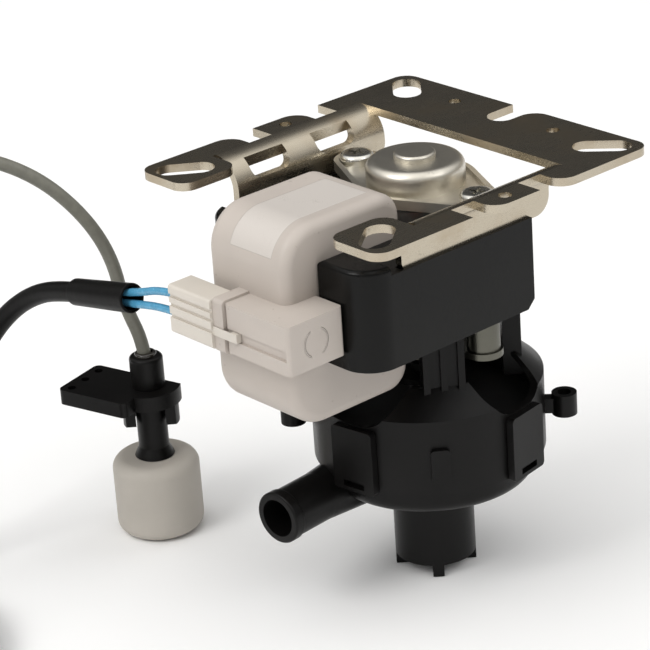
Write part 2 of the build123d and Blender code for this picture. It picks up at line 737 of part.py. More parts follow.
def make_upper_housing():
    """Cage, shoulder, rim and deck of the pump, open between its four legs."""
    w = housing_wall
    housing = turned([(shoulder_r, shoulder_top), (rim_r, rim_top), (rim_r, split_z), (rim_r - w, split_z),
                      (rim_r - w, rim_top - 0.4), (shoulder_r - w, shoulder_top)])
    for angle, width in ((-81, side_window_w), (0, side_window_w), (81, side_window_w), (180, coil_window_w)):
        housing -= Rot(0, 0, angle) * sill_cut(width)
    housing += rod(rim_r - w + 0.1, deck_z - w, deck_z)
    for angle in pillar_angles:
        under_sleeve = polar(pillar_r, angle)[0] < sleeve_back_x
        housing += Rot(0, 0, angle) * pillar(sleeve_bottom if under_sleeve else stack_bottom)
    for piece in around(ear(), (pump_turn, pump_turn + 180)):
        housing += piece
    for piece in around(clip(), [clip_start + 360 / clip_count * k for k in range(clip_count)]):
        housing += piece
    lug = box(rim_r - 0.5, rim_r + lug_proud, -lug_w / 2, lug_w / 2, lug_bottom, lug_top)
    housing += Rot(0, 0, lug_angle) * fillet(lug.edges().filter_by(Axis.X), 0.8)
    return housing - rod(shaft_hole_r, deck_z - w - 1, deck_z + 1)


def outlet_frame():
    """Plane on the outlet's axis at its root, its Z pointing out of the tube."""
    turn = radians(outlet_turn)
    out = Vector(-cos(turn), -sin(turn), 0)
    side = Vector(-out.Y, out.X, 0) * -outlet_offset
    return Plane(origin=(side.X, side.Y, outlet_z), z_dir=out)


def make_outlet():
    """Tangential spout with a lip at its mouth, faired where it leaves the drum."""
    root = outlet_frame()
    neck = outlet_reach - outlet_lip_l
    spout = extrude(root * Circle(outlet_od / 2), amount=neck)
    lip = extrude(root * Pos(0, 0, neck) * Circle(outlet_od / 2 + outlet_lip), amount=outlet_lip_l)
    spout += fillet(lip.edges().filter_by(GeomType.CIRCLE), 0.5)
    cone = loft([root * Pos(0, 0, fairing_reach / 2) * Circle(outlet_od / 2 + 1.4),
                 root * Pos(0, 0, fairing_reach + 3) * Circle(outlet_od / 2)])
    return spout + cone


def make_volute():
    """Lower half of the pump: rim, drum, outlet, and the inlet skirt with its feet."""
    w = housing_wall
    flange_z = split_z - flange_h
    drum = rod(drum_r, volute_bottom, split_z)
    drum = fillet(drum.edges().group_by(Axis.Z)[0], drum_edge_r)
    shell = rod(rim_r, flange_z, split_z) + drum + make_outlet()
    shell += turned([(0, volute_bottom + 1), (skirt_r + skirt_root_r, volute_bottom + 1),
                     (skirt_r + skirt_root_r, volute_bottom), (skirt_r, volute_bottom - skirt_root_r),
                     (skirt_r, skirt_bottom), (0, skirt_bottom)])
    cavity = rod(drum_r - w, volute_bottom + w, split_z + 1)
    shell -= fillet(cavity.edges().group_by(Axis.Z)[0], drum_edge_r - w + 0.5)
    shell -= rod(skirt_r - skirt_wall, skirt_bottom - 1, volute_bottom + w + 1)
    shell -= extrude(outlet_frame() * Circle(outlet_bore / 2), amount=outlet_reach + 1)
    shell -= tube(seal_r + seal_section / 2, seal_r - seal_section / 2, split_z - seal_section + 0.2, split_z + 1)
    foot = box(skirt_r - foot_t, skirt_r + 1, -foot_w / 2, foot_w / 2, feet_bottom, skirt_bottom + 0.6)
    foot = foot & tube(skirt_r, skirt_r - skirt_wall - 1.2, feet_bottom, skirt_bottom + 0.6)
    for piece in around(foot, [foot_turn + 360 / foot_count * k for k in range(foot_count)]):
        shell += piece
    return shell


def make_seal():
    half = seal_section / 2 - 0.02
    return tube(seal_r + half, seal_r - half, split_z - seal_section + 0.2, split_z)


def make_impeller():
    """Open radial impeller pressed on the shaft's end."""
    bottom = impeller_top - impeller_h
    wheel = rod(hub_r, bottom, impeller_top) + rod(shroud_r, impeller_top - shroud_t, impeller_top)
    blade = box(hub_r - 1, impeller_r, -blade_t / 2, blade_t / 2, bottom + 2.6, impeller_top)
    blade = chamfer(edges_at(blade, Axis.Y, (impeller_r - 1, -99, -99), (99, 99, bottom + 3)), blade_tip_chamfer)
    for piece in around(blade, [360 / blade_count * k for k in range(blade_count)]):
        wheel += piece
    return wheel - rod(shaft_d / 2, shaft_bottom - 1, impeller_top + 1)


def make_slinger():
    """Rubber disc that throws water off the shaft above the deck."""
    disc = rod(slinger_r, slinger_z - slinger_t, slinger_z) + rod(washer_r, slinger_z - 4.0, slinger_z + 2.0)
    return disc - rod(shaft_d / 2, slinger_z - 9, slinger_z + 9)


# ---------------------------------------------------------------- float switch
def at_float(shape):
    return Pos(float_x, float_y, 0) * shape


def make_float_bracket():
    """Flat arm with three screw holes, a ring round the stem and two lugs under it."""
    z0, z1 = float_bracket_top - float_bracket_t, float_bracket_top
    ring_r = float_bracket_ring_r
    arm = box(-float_bracket_left, float_bracket_right, -1.5, float_bracket_back, z0, z1)
    arm = fillet(arm.edges().filter_by(Axis.Z), float_bracket_corner_r)
    bracket = arm + (rod(ring_r, z0, z1) & box(-ring_r, float_bracket_right, -ring_r, ring_r, z0, z1))
    for side in (1, -1):
        lug = tube(lug_outer_r, stem_low_d / 2 + 1.2, z0 - lug_drop, z0)
        lug = lug & box(side * 1.2, side * ring_r, -3.4, 3.4, z0 - lug_drop, z0)
        bracket += Rot(0, 0, -55) * lug
    for k in range(3):
        x = float_bracket_hole_x + float_bracket_hole_pitch * k
        bracket -= rod(float_bracket_hole_d / 2, z0 - 1, z1 + 1, x, float_bracket_back - float_bracket_hole_edge)
    bracket = Rot(0, 0, float_bracket_turn) * bracket
    bracket -= rod(stem_low_d / 2, z0 - lug_drop - 1, z1 - 1.0)
    return at_float(bracket - rod(stem_d / 2, z1 - 1.0, z1 + 1))


def make_stem():
    """Hollow stem: a thick head, a slim guide, the upper stop and a clip groove."""
    z_step = float_bracket_top - 1.0
    head = rod(stem_d / 2, z_step, stem_top)
    stem = fillet(top_rims(head), stem_rim_r) + rod(stem_low_d / 2, stem_bottom, z_step)
    stem += turned([(0, flare_bottom), (flare_d / 2, flare_bottom), (flare_d / 2 - 0.3, flare_bottom + 0.7),
                    (stem_low_d / 2, flare_bottom + flare_h), (0, flare_bottom + flare_h)])
    stem -= tube(stem_low_d, stem_low_d / 2 - float_clip_groove, float_clip_top - float_clip_t, float_clip_top)
    return at_float(stem - rod(reed_bore_d / 2, stem_bottom + 2.5, stem_top + 1))


def make_float():
    """Moulded float with a guide bore, a pocket for the magnet and a recess for the clip."""
    body = rod(float_r, floor_z, float_top)
    body = fillet(body.edges().filter_by(GeomType.CIRCLE), float_edge_r)
    body -= rod(stem_low_d / 2 + float_clearance, floor_z - 1, float_top + 1)
    body -= rod(counterbore_r, floor_z - 1, float_ceiling)
    return at_float(body - rod(magnet_r, magnet_top - magnet_h, magnet_top))


def make_magnet():
    return at_float(tube(magnet_r, stem_low_d / 2 + float_clearance + 0.1, magnet_top - magnet_h, magnet_top))


def make_float_clip():
    """Split ring snapped in the stem's groove under the float."""
    ring = tube(float_clip_r, stem_low_d / 2 - float_clip_groove, float_clip_top - float_clip_t, float_clip_top)
    return at_float(ring - box(0, float_clip_r + 1, -1.2, 1.2, float_clip_top - 3, float_clip_top + 3))


def make_reed():
    """Glass reed switch hanging on its leads from the potting."""
    potting_bottom = stem_top - potting_depth
    reed_top = potting_bottom - 6.0
    r = reed_lead_r
    glass = rod(reed_d / 2, reed_top - reed_l, reed_top)
    glass = fillet(glass.edges().filter_by(GeomType.CIRCLE), reed_d / 2 - 0.3)
    back_x = reed_d / 2 + r + 0.1
    foot_z = reed_top - reed_l - 2 * r - 1.2
    reed = glass + rod(r, reed_top - 0.5, potting_bottom) + rod(r, foot_z, potting_bottom, back_x)
    reed += box(-r, back_x + r, -r, r, foot_z, foot_z + 2 * r) + rod(r, foot_z, reed_top - reed_l + 0.5)
    return at_float(reed)


def make_potting():
    """Cast resin that seals the cable into the stem's head."""
    bead = rod(float_cable_d / 2 + 1.1, stem_top, stem_top + 0.9)
    potting = rod(reed_bore_d / 2, stem_top - potting_depth, stem_top) + fillet(top_rims(bead), 0.6)
    potting -= rod(float_cable_d / 2 + 0.2, stem_top - 1.5, stem_top + 2)
    return at_float(potting - rod(float_cable_d / 2, stem_top - cable_grip, stem_top))


# ---------------------------------------------------------------- cords
# Each coil lies on the floor. Its cord comes in along the outer turn and leaves above it.
float_ring_at = (-148.6, 16.9)
float_in_x = float_ring_at[0] - float_ring_d / 2 - float_cable_d / 2
float_cable_route = [
    (float_x, float_y, stem_top - cable_grip), (float_x, float_y, stem_top + 2.8), (-37.8, 69.0, -46.4),
    (-39.3, 70.3, -32.8), (-44.0, 74.3, -21.0), (-51.9, 81.0, -10.4), (-63.5, 88.3, -3.4),
    (-77.5, 90.8, -2.2), (-91.5, 88.0, -7.5), (-104.5, 81.5, -17.5), (-116.5, 74.5, -30.5),
    (-128.0, 67.5, -45.5), (-139.5, 60.3, -62.0), (-150.5, 52.5, -78.5), (-158.5, 44.5, -90.5),
    (-165.0, 36.5, -101.5), (float_in_x, 26.5, float_cable_z), (float_in_x, 14.5, float_cable_z)]
float_tail_z = float_cable_z + float_cable_d
float_tail_route = [
    (float_in_x, 18.9, float_tail_z), (float_in_x, 9.5, float_tail_z),
    (-166.8, 0.0, float_cable_z), (-164.5, -8.5, float_cable_z)]

lead_ring_at = (-126.9, 63.5)
lead_in_y = lead_ring_at[1] + lead_ring_d / 2 + lead_d / 2
lead_route = [
    (-59.86, 49.5, -30.66), (-60.2, 61.5, -32.95), (-61.0, 72.3, -36.3), (-63.2, 81.7, -42.7),
    (-66.9, 88.2, -51.7), (-72.0, 90.6, -62.3), (-78.6, 90.9, -74.0), (-86.5, 91.0, -86.5),
    (-97.0, lead_in_y, -98.3), (-110.5, lead_in_y, lead_z), (-126.0, lead_in_y, lead_z)]
lead_tail_z = lead_z + lead_d
lead_tail_route = [
    (-121.0, lead_in_y, lead_tail_z), (-132.0, lead_in_y, lead_tail_z),
    (-145.3, 90.0, lead_z), (-156.0, 87.3, lead_z)]

# The lead's sleeve and the two wires that run from the plug into it.
sleeve_mouth = (-59.47, 35.6, -28.0)
sleeve_end = (-60.07, 57.0, -32.09)
sleeve_mouth_r = 3.6
sleeve_end_r = lead_sleeve_d / 2
sleeve_wall_t = 0.7
wire_mouth_z = -28.1
wire_end = (-59.85, 48.8, -30.72)


def wire_route(level, side):
    """From the plug's contact into the sleeve, side by side with the other wire."""
    aside = side * wire_spread
    return [(wire_x, plug_in_y + contact_l + 0.5, level), (wire_x, plug_tail_y + 6.0, level),
            (sleeve_mouth[0], sleeve_mouth[1], wire_mouth_z + aside), (wire_end[0], wire_end[1], wire_end[2] + aside)]


def cord_tube(points, diameter, name):
    """Straight runs joined by tangent arcs, each as large as its two runs allow."""
    pts = [Vector(*p) for p in points]
    radii = []
    for a, b, c in zip(pts, pts[1:], pts[2:]):
        turn = radians((b - a).get_angle(c - b))
        radii.append(0.45 * min((b - a).length, (c - b).length) / tan(turn / 2))
    print(f"{name} radii mm:", [round(r, 1) for r in radii])
    path = FilletPolyline(*pts, radius=radii)
    section = Plane(origin=path @ 0, z_dir=path % 0) * Circle(diameter / 2)
    cord = sweep(section, path=path)
    expected = pi * diameter ** 2 / 4 * path.length
    print(f"{name}: path {path.length:.1f} mm, volume ratio {cord.volume / expected:.4f}")
    return cord


def ring_coil(at, ring_d, diameter):
    """Outer shape of a round coil lying on the floor."""
    half = ring_across * diameter / 2
    coil = tube(ring_d / 2 + half, ring_d / 2 - half, floor_z, floor_z + ring_layers * diameter, *at)
    return fillet(coil.edges().filter_by(GeomType.CIRCLE), diameter * 0.35)


def make_lead_sleeve():
    """Tapered sleeve shrunk over the two wires and the end of the lead."""
    axis = Vector(*sleeve_end) - Vector(*sleeve_mouth)
    plane = Plane(origin=sleeve_mouth, z_dir=axis)
    outer = loft([plane * Circle(sleeve_mouth_r), plane * Pos(0, 0, axis.length) * Circle(sleeve_end_r)])
    outer = fillet(outer.edges().filter_by(GeomType.CIRCLE), 0.25)
    mouth_bore = extrude(plane * Circle(sleeve_mouth_r - sleeve_wall_t), amount=axis.length * 0.6)
    return outer - mouth_bore - extrude(plane * Circle(lead_d / 2 + 0.05), amount=axis.length + 1)


def make_connector(route, width, height, length):
    """A plain two-pole plug lying on the floor at the end of a cord."""
    before, end = Vector(*route[-2]), Vector(*route[-1])
    plane = Plane(origin=(end.X, end.Y, floor_z + height / 2), z_dir=end - before, x_dir=(0, 0, 1))
    plane = plane.offset(0.1)
    body = extrude(plane * RectangleRounded(height, width, 0.8), amount=length)
    for side in (1, -1):
        body -= extrude(plane * Pos(0, side * width / 4, length - 6) * Rectangle(height * 0.45, width * 0.28), amount=8)
    return body


# ---------------------------------------------------------------- write every node
save("mounting_bracket", make_bracket())
save("stator_core", make_stator())
save("coil_core_bar", make_core_bar())
save("shading_rings", make_shading_rings())
save("coil_bobbin", make_bobbin())
save("coil_winding", make_winding())
save("coil_cover", make_coil_cover())
save("plug_housing", make_plug())
save("plug_contacts", make_contacts())
save("front_limb_sleeve", make_sleeve(cap_x0[0], cap_corner_r[0]))
save("rear_limb_sleeve", mirrored(make_sleeve(cap_x0[1], cap_corner_r[1])))
save("upper_bearing_bracket", make_upper_bracket())
save("lower_bearing_bracket", make_lower_bracket())
save("upper_bearing", make_bearing(upper_bearing_z))
save("lower_bearing", make_bearing(lower_bearing_z))
save("oil_felts", make_felts())
save("bearing_retainer", make_retainer())
save("motor_screws", make_screws())
save("rotor_core", make_rotor_core())
save("rotor_cage", make_rotor_cage())
save("motor_shaft", make_shaft())
save("thrust_washers", make_thrust_washers())
save("shaft_slinger", make_slinger())
save("impeller", make_impeller())
save("pump_upper_housing", make_upper_housing())
save("volute_housing", make_volute())
save("housing_seal", make_seal())
save("float_bracket", make_float_bracket())
save("float_stem", make_stem())
save("float_body", make_float())
save("float_magnet", make_magnet())
save("float_clip", make_float_clip())
save("reed_switch", make_reed())
save("cable_potting", make_potting())
save("float_cable", [cord_tube(float_cable_route, float_cable_d, "float_cable"),
                     cord_tube(float_tail_route, float_cable_d, "float_cable tail")])
save("float_cable_coil", ring_coil(float_ring_at, float_ring_d, float_cable_d))
save("float_connector", make_connector(float_tail_route, 8.0, 5.0, 14.0))
save("blue_wire_upper", cord_tube(wire_route(wire_z[0], 1), wire_d, "blue_wire_upper"))
save("blue_wire_lower", cord_tube(wire_route(wire_z[1], -1), wire_d, "blue_wire_lower"))
save("lead_sleeve", make_lead_sleeve())
save("pump_lead", [cord_tube(lead_route, lead_d, "pump_lead"), cord_tube(lead_tail_route, lead_d, "pump_lead tail")])
save("pump_lead_coil", ring_coil(lead_ring_at, lead_ring_d, lead_d))
save("lead_connector", make_connector(lead_tail_route, 8.0, 6.0, 12.0))
print(len(saved), "nodes")
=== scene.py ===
# %% [markdown]
# # A condensate pump, dressed and lit
# A condensate pump lifts the water that drips from a cooling unit. A shaded-pole
# motor hangs in a steel bracket, drives a small impeller below it, and is started
# by a float switch that stands beside it on its own cable.
#
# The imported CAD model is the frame: every piece keeps its place and size. This
# lesson sets the camera, lays the cords, ties their coils, gives every surface a
# procedural finish, and lights the whole. All lengths are in metres unless a name
# or a comment says millimetres.

# %% Load the frame
import json
from math import cos, pi, radians, sin

import bpy
from mathutils import Matrix, Vector


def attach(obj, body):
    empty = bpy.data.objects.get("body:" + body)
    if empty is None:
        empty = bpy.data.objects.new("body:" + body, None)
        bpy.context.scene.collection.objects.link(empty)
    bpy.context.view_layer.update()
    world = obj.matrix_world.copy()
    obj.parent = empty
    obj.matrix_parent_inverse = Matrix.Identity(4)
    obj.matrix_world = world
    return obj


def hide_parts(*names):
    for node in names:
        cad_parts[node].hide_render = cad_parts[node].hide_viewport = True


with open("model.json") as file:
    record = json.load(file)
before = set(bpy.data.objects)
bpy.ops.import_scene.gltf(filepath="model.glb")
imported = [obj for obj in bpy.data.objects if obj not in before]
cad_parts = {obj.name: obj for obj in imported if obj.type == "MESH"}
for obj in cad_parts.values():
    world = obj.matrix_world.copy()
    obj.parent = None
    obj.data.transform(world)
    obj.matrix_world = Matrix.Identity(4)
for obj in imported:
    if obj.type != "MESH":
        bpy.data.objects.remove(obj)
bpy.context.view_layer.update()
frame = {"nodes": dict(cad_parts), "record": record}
nodes = frame["nodes"]
MM = 0.001
FLOOR_Z = -0.10865             # the pump's feet and the float stand here
print("CAD nodes:", len(nodes))

# %% [markdown]
# ## Camera
# The view looks down on the corner where the coil and the plug are. A camera could
# be placed by eye and pointed with a constraint. Here it is worked out from an aim
# point, two angles, a roll and a distance, because each of them can then be changed
# by itself. The long lens keeps the bracket's edges nearly parallel.

# %% Place the camera
AIM = Vector((-28.43, 3.13, -36.23)) * MM
AZIMUTH, ELEVATION, ROLL = radians(-40.275), radians(23.813), radians(-3.998)
DISTANCE = 0.653259
SENSOR_MM, LENS_MM = 36.0, 154.543
NEAREST, FARTHEST = 0.05, 20.0

turn = Matrix.Rotation(AZIMUTH, 3, "Z") @ Matrix.Rotation(pi / 2 - ELEVATION, 3, "X")
turn = turn @ Matrix.Rotation(ROLL, 3, "Z")
bpy.ops.object.camera_add(location=AIM + turn @ Vector((0, 0, DISTANCE)), rotation=turn.to_euler())
camera = bpy.context.object
camera.data.sensor_width = SENSOR_MM
camera.data.lens = LENS_MM
camera.data.clip_start = NEAREST
camera.data.clip_end = FARTHEST
bpy.context.scene.camera = camera
print("camera at", tuple(round(v, 4) for v in camera.location))

# %% [markdown]
# ## One cord
# A cord is a fixed length of something round and flexible. It could be a mesh swept
# along a path, but then each bend would have to be edited vertex by vertex. A NURBS
# curve with a bevel stays smooth between a few control points, so it is used for
# every cord. Order and end rule are set after the points exist, because a new
# spline otherwise falls back to straight runs. The bevel is one metre deep, and
# each point's radius scales it down to the cord's own.

# %% Make a cord from its control points
CURVE_STEPS, ROUND_STEPS = 10, 8


def cord_curve(name, points, diameter):
    """A round cord along millimetre points, riding on the fixed body."""
    bpy.ops.curve.primitive_nurbs_path_add()
    cord = bpy.context.object
    cord.name = name
    curve = cord.data
    curve.splines.clear()
    spline = curve.splines.new("NURBS")
    spline.points.add(len(points) - 1)
    for point, place in zip(spline.points, points):
        point.co = (*(Vector(place) * MM), 1.0)
        point.radius = diameter * MM / 2
    spline.order_u = 3
    spline.use_endpoint_u = True
    curve.dimensions = "3D"
    curve.resolution_u = CURVE_STEPS
    curve.bevel_depth = 1.0
    curve.bevel_resolution = ROUND_STEPS
    curve.use_fill_caps = True
    curve.use_path = False
    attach(cord, "root")
    return cord


# %% [markdown]
# ## A coil of spare length
# Whoever fits the pump gets some spare cable, wound up and tied. Turns could be
# drawn as separate rings, but a real coil is one cord: its end has to come out of
# the last turn. So the points run on round the coil, move from the outer ring to
# the inner one, climb on top, and move out again. Each change is eased over a part
# of a turn, which is how a stiff jacket takes it.

# %% Points of a coil
TURNS, PER_TURN = 3, 16
NURBS_SPREAD = 1.0180          # control points lie this much outside the round line
MOVE_IN, CLIMB, MOVE_OUT = (0.78, 1.0), (1.5, 1.75), (2.28, 2.5)     # in turns
LOW = FLOOR_Z / MM


def ease(t, start, end):
    """0 before start, 1 after end, smooth between."""
    share = min(max((t - start) / (end - start), 0.0), 1.0)
    return share * share * (3 - 2 * share)


def coil_turns(centre, ring_d, diameter, start):
    """Three neat turns: outer and inner one on the floor, then back out on top of them."""
    points = []
    for step in range(TURNS * PER_TURN + 1):
        t = step / PER_TURN
        inward = ease(t, *MOVE_IN) - ease(t, *MOVE_OUT)
        r = (ring_d / 2 + diameter * (0.5 - inward)) * NURBS_SPREAD
        z = LOW + diameter * (0.5 + ease(t, *CLIMB))
        angle = radians(start + 360 * t)
        points.append((centre[0] + r * cos(angle), centre[1] + r * sin(angle), z))
    return points


# %% [markdown]
# ## The float switch's cable
# A thin grey cable leaves the top of the float's stem, rises in an arch, comes down
# to the floor, and ends in its coil and connector. It could be left to a physics
# simulation, but that gives another arch each time. Its points are listed one by one,
# in millimetres, close together where it bends and farther apart where it runs.

# %% Lay the float switch's cable
FLOAT_CABLE = 3.4
FLOAT_RING, FLOAT_RING_D = (-148.6, 16.9), 34.0
float_low = LOW + FLOAT_CABLE / 2
float_route = [
    (-34.7, 66.4, -65.9), (-34.7, 66.4, -57.6), (-37.8, 69.0, -46.4), (-39.3, 70.3, -32.8),
    (-44.0, 74.3, -21.0), (-51.9, 81.0, -10.4), (-63.5, 88.3, -3.4), (-77.5, 90.8, -2.2),
    (-91.5, 88.0, -7.5), (-104.5, 81.5, -17.5), (-116.5, 74.5, -30.5), (-128.0, 67.5, -45.5),
    (-139.5, 60.3, -62.0), (-150.5, 52.5, -78.5), (-158.5, 44.5, -90.5), (-165.0, 36.5, -101.5),
    (-167.3, 26.5, float_low)]
float_route += coil_turns(FLOAT_RING, FLOAT_RING_D, FLOAT_CABLE, 180)
float_route += [
    (-167.3, 9.5, float_low + FLOAT_CABLE), (-166.8, 0.0, float_low), (-164.5, -8.5, float_low)]
cords = {"float_cable_line": cord_curve("float_cable_line", float_route, FLOAT_CABLE)}
print("float_cable_line:", len(float_route), "points")

# %% [markdown]
# ## The pump's lead
# The lead is thicker and stiffer, so it hangs in one slow curve from its sleeve to
# the floor. It is laid in the same way as the cable, and coils the other side of it.

# %% Lay the pump's lead
LEAD = 5.0
LEAD_RING, LEAD_RING_D = (-126.9, 63.5), 50.0
lead_low = LOW + LEAD / 2
lead_route = [
    (-59.86, 49.5, -30.66), (-60.2, 61.5, -32.95), (-61.0, 72.3, -36.3), (-63.2, 81.7, -42.7),
    (-66.9, 88.2, -51.7), (-72.0, 90.6, -62.3), (-78.6, 90.9, -74.0), (-86.5, 91.0, -86.5),
    (-97.0, 91.0, -98.3), (-110.5, 91.0, lead_low)]
lead_route += coil_turns(LEAD_RING, LEAD_RING_D, LEAD, 90)
lead_route += [(-135.0, 91.0, lead_low + LEAD), (-145.3, 90.0, lead_low), (-156.0, 87.3, lead_low)]
cords["pump_lead_line"] = cord_curve("pump_lead_line", lead_route, LEAD)
print("pump_lead_line:", len(lead_route), "points")

# %% [markdown]
# ## Two blue wires
# The two conductors of the lead leave their sleeve and go straight into the plug.
# They are stiff for their length, so four points each are enough.

# %% Lay the two wires
WIRE = 1.9


def wire_route(level, mouth, end):
    """From the plug at one level to the sleeve's mouth, and on to the end inside it."""
    return [(-58.3, 11.1, level), (-58.3, 23.5, level), (-59.47, 35.6, mouth), (-59.85, 48.8, end)]


cords["blue_wire_top"] = cord_curve("blue_wire_top", wire_route(-22.65, -26.85, -29.47), WIRE)
cords["blue_wire_low"] = cord_curve("blue_wire_low", wire_route(-27.45, -29.35, -31.97), WIRE)

# %% [markdown]
# ## What the curves stand for
# The CAD holds each coil as one plain ring, because collisions need a closed solid.
# Each curve takes the place of the solids of its own cord.

# %% Replace the plain solids
stands_for = {
    "float_cable_line": ("float_cable", "float_cable_coil"),
    "pump_lead_line": ("pump_lead", "pump_lead_coil"),
    "blue_wire_top": ("blue_wire_upper",),
    "blue_wire_low": ("blue_wire_lower",)}
for name, replaced in stands_for.items():
    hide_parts(*replaced)
    print(name, "stands for", *replaced)

# %% [markdown]
# ## Choosing faces and edges in code
# A modeller clicks on the faces to change. A script has no mouse, so it chooses by
# a test on each face or edge. The choice is made in object mode, where it can be
# written on the mesh, and takes effect when edit mode opens.

# %% Helpers for modelling
def select_where(piece, kind, test):
    """Select only the faces or edges that pass a test, and stay in edit mode."""
    bpy.ops.object.mode_set(mode="EDIT")
    bpy.ops.mesh.select_mode(type=kind)
    bpy.ops.mesh.select_all(action="DESELECT")
    bpy.ops.object.mode_set(mode="OBJECT")
    for item in piece.data.polygons if kind == "FACE" else piece.data.edges:
        item.select = test(item)
    bpy.ops.object.mode_set(mode="EDIT")


def add_block(name, place, sizes, angle):
    """A block at a place, turned about Z, with its scale applied."""
    bpy.ops.object.select_all(action="DESELECT")
    bpy.ops.mesh.primitive_cube_add(size=1.0, location=place, rotation=(0, 0, angle), scale=sizes)
    block = bpy.context.object
    block.name = name
    bpy.ops.object.transform_apply(location=False, rotation=False, scale=True)
    return block


# %% [markdown]
# ## Ties round the coils
# A cable tie is a thin nylon band with a small square head that locks it. The band
# could be a bevelled curve, but it is flat, with rounded corners where it bends
# round the bundle. So it starts as a block: the two open sides are deleted, the
# edges along the band are rounded, and Solidify gives it a wall.

# %% The band of a tie
TIE_T, TIE_W = 0.7, 2.6        # millimetres
FACING = 0.9                   # share of a normal that counts as facing one way


def tie_band(name, middle, width, height, corner, angle):
    """The strap: a rounded rectangular loop with a thin wall."""
    band = add_block(name, middle, (width * MM, TIE_W * MM, height * MM), angle)
    select_where(band, "FACE", lambda face: abs(face.normal.y) > FACING)
    bpy.ops.mesh.delete(type="FACE")

    def runs_along(edge):
        first, second = (band.data.vertices[k].co.y for k in edge.vertices)
        return abs(first - second) > MM

    select_where(band, "EDGE", runs_along)
    bpy.ops.mesh.bevel(offset=corner * MM, segments=6)
    bpy.ops.object.mode_set(mode="OBJECT")
    wall = band.modifiers.new("wall", "SOLIDIFY")
    wall.thickness = TIE_T * MM
    wall.offset = -1.0
    bpy.ops.object.modifier_apply(modifier="wall")
    return band


# %% [markdown]
# ## The head of a tie
# The strap passes through the head, so the head's two ends are hollow. They are
# inset and pushed in, and a small bevel takes the sharpness off all its edges.

# %% The head of a tie
HEAD_SIZE = (3.6, 4.0, 2.2)    # millimetres
HEAD_LIFT = 0.9                # middle of the head above the strap
HEAD_RIM, HEAD_DEPTH, HEAD_ROUND = 0.7, 0.8, 0.35


def tie_head(name, place, angle):
    """The lock of a tie, with a pocket in each end."""
    head = add_block(name, place, tuple(size * MM for size in HEAD_SIZE), angle)
    select_where(head, "FACE", lambda face: abs(face.normal.x) > FACING)
    bpy.ops.mesh.inset(thickness=HEAD_RIM * MM, depth=-HEAD_DEPTH * MM)
    bpy.ops.object.mode_set(mode="OBJECT")
    rounding = head.modifiers.new("rounding", "BEVEL")
    rounding.width, rounding.segments = HEAD_ROUND * MM, 3
    bpy.ops.object.modifier_apply(modifier="rounding")
    return head


# %% [markdown]
# ## One tie on each coil
# Band and head are joined to one piece. Its place is applied last, so that the
# finished piece sits at the origin and only its mesh lies round the coil.

# %% Put the ties on
SMOOTH_BELOW = radians(35)


def add_tie(name, ring, ring_d, diameter, degrees):
    """A cable tie round the bundle of turns, at one angle of the coil."""
    angle = radians(degrees)
    out = ring_d / 2
    middle = Vector((ring[0] + out * cos(angle), ring[1] + out * sin(angle), 0)) * MM
    middle.z = FLOOR_Z + (diameter + TIE_T / 2) * MM
    width, height = 2 * diameter + 2 * TIE_T, 2 * diameter + TIE_T
    band = tie_band(name, middle, width, height, diameter / 2, angle)
    tie_head(name + "_head", middle + Vector((0, 0, height / 2 + HEAD_LIFT)) * MM, angle)
    band.select_set(True)
    bpy.context.view_layer.objects.active = band
    bpy.ops.object.join()
    bpy.ops.object.transform_apply(location=True, rotation=True, scale=True)
    bpy.ops.object.shade_smooth_by_angle(angle=SMOOTH_BELOW)
    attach(band, "root")
    print(name, "has", len(band.data.polygons), "faces")
    return band


ties = {
    "float_coil_tie": add_tie("float_coil_tie", FLOAT_RING, FLOAT_RING_D, FLOAT_CABLE, 25),
    "lead_coil_tie": add_tie("lead_coil_tie", LEAD_RING, LEAD_RING_D, LEAD, -10)}

# %% [markdown]

# %% [markdown]
# ## Shader arithmetic
# A finish is a small sum: a mask times a colour, a noise minus a half. Nodes could
# be added and linked one at a time, but then the sum is hard to read. `Value` wraps
# a node's output so that Python's own signs add the Math nodes, on either side of
# a plain number.

# %% A socket that can be reckoned with
class Value:
    """A node's output, in the tree that it belongs to."""

    def __init__(self, tree, socket):
        self.tree, self.socket = tree, socket

    def math(self, operation, *others):
        return self.tree.node("Math", dict(enumerate((self, *others))), operation=operation)

    def __add__(self, other):
        return self.math("ADD", other)

    def __sub__(self, other):
        return self.math("SUBTRACT", other)

    def __rsub__(self, other):
        return self.tree.node("Math", {0: other, 1: self}, operation="SUBTRACT")

    def __mul__(self, other):
        return self.math("MULTIPLY", other)

    __radd__, __rmul__ = __add__, __mul__

    def size(self):
        return self.math("ABSOLUTE")

    def root(self):
        return self.math("SQRT")

    def sine(self):
        return self.math("SINE")

    def step(self, low, high):
        """0 below low, 1 above high, smooth between; low may be the larger."""
        return self.tree.node("MapRange", {0: self, 1: low, 2: high, 3: 0.0, 4: 1.0},
                              interpolation_type="SMOOTHSTEP")


# %% [markdown]
# ## One way to add a node
# Every node, in a material or in the sky, comes from this one method. Settings go
# first, because some of them change which sockets a node has. Then each socket gets
# its value, or a link where the value is another node's output.

# %% Trees of nodes
class Tree:
    """The nodes of one material or of the sky."""

    def __init__(self, tree):
        self.tree = tree

    def node(self, kind, inputs=None, out=0, **settings):
        """Add a node, set it up, fill or link its sockets, and return one output."""
        made = self.tree.nodes.new("ShaderNode" + kind)
        for key, value in settings.items():
            setattr(made, key, value)
        for key, value in (inputs or {}).items():
            self.feed(made.inputs[key], value)
        return Value(self, made.outputs[out])

    def feed(self, socket, value):
        """Link an output to a socket, or write a plain value on it."""
        if isinstance(value, Value):
            self.tree.links.new(value.socket, socket)
        else:
            socket.default_value = value


